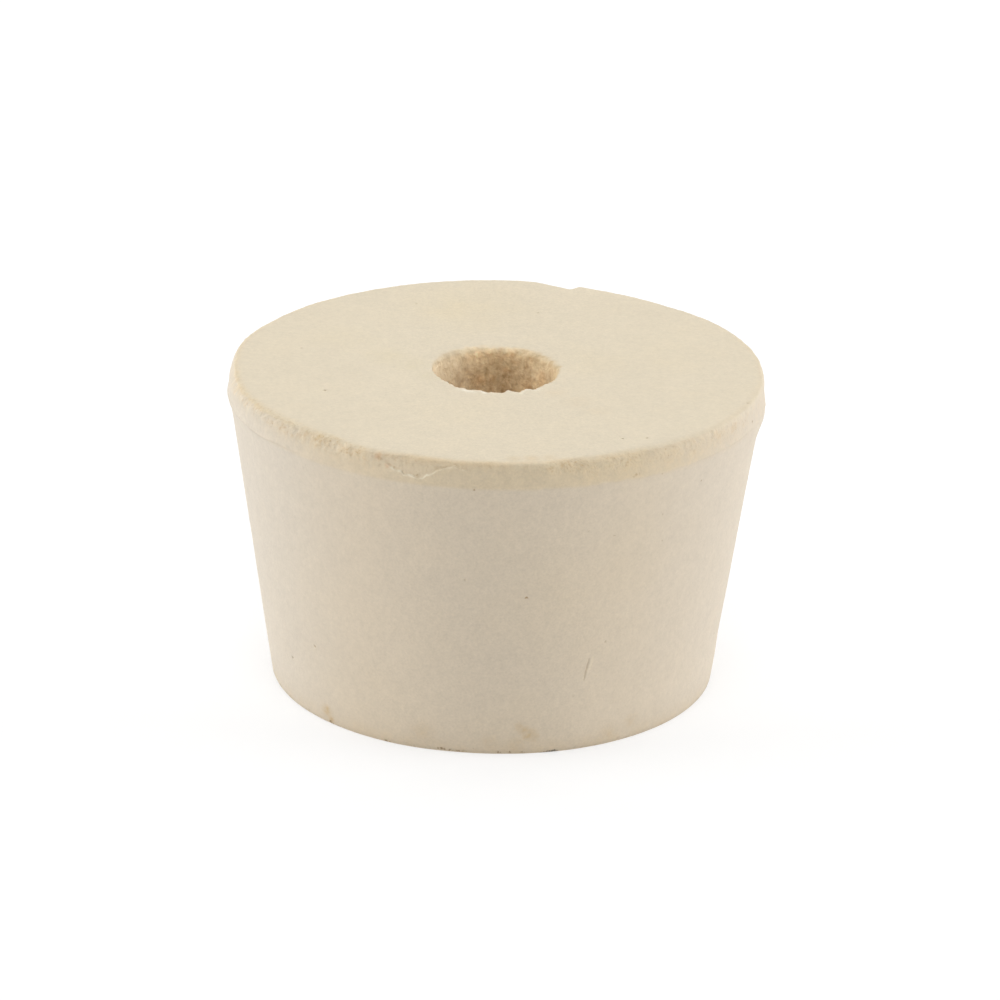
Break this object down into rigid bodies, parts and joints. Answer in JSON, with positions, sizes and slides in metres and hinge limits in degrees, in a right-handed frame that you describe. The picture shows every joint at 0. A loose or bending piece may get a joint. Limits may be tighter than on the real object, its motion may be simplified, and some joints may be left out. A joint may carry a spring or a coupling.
{
  "type": "rubber stopper",
  "caption": "Tapered round rubber stopper with one hole straight through, for sealing a bottle or flask neck around a glass tube.",
  "frame": {"origin": "centre of the small end's flat face, which the stopper stands on", "axes": "+Z along the taper's axis from the small end to the wide end, -Y towards the side of the rim with the short untrimmed lip"},
  "size_m": [0.0414, 0.0414, 0.025],
  "materials": {
    "rubber": "matte, slightly powdery cream rubber"
  },
  "bodies": {
    "root": {"stopper": "rubber"}
  },
  "joints": []
}
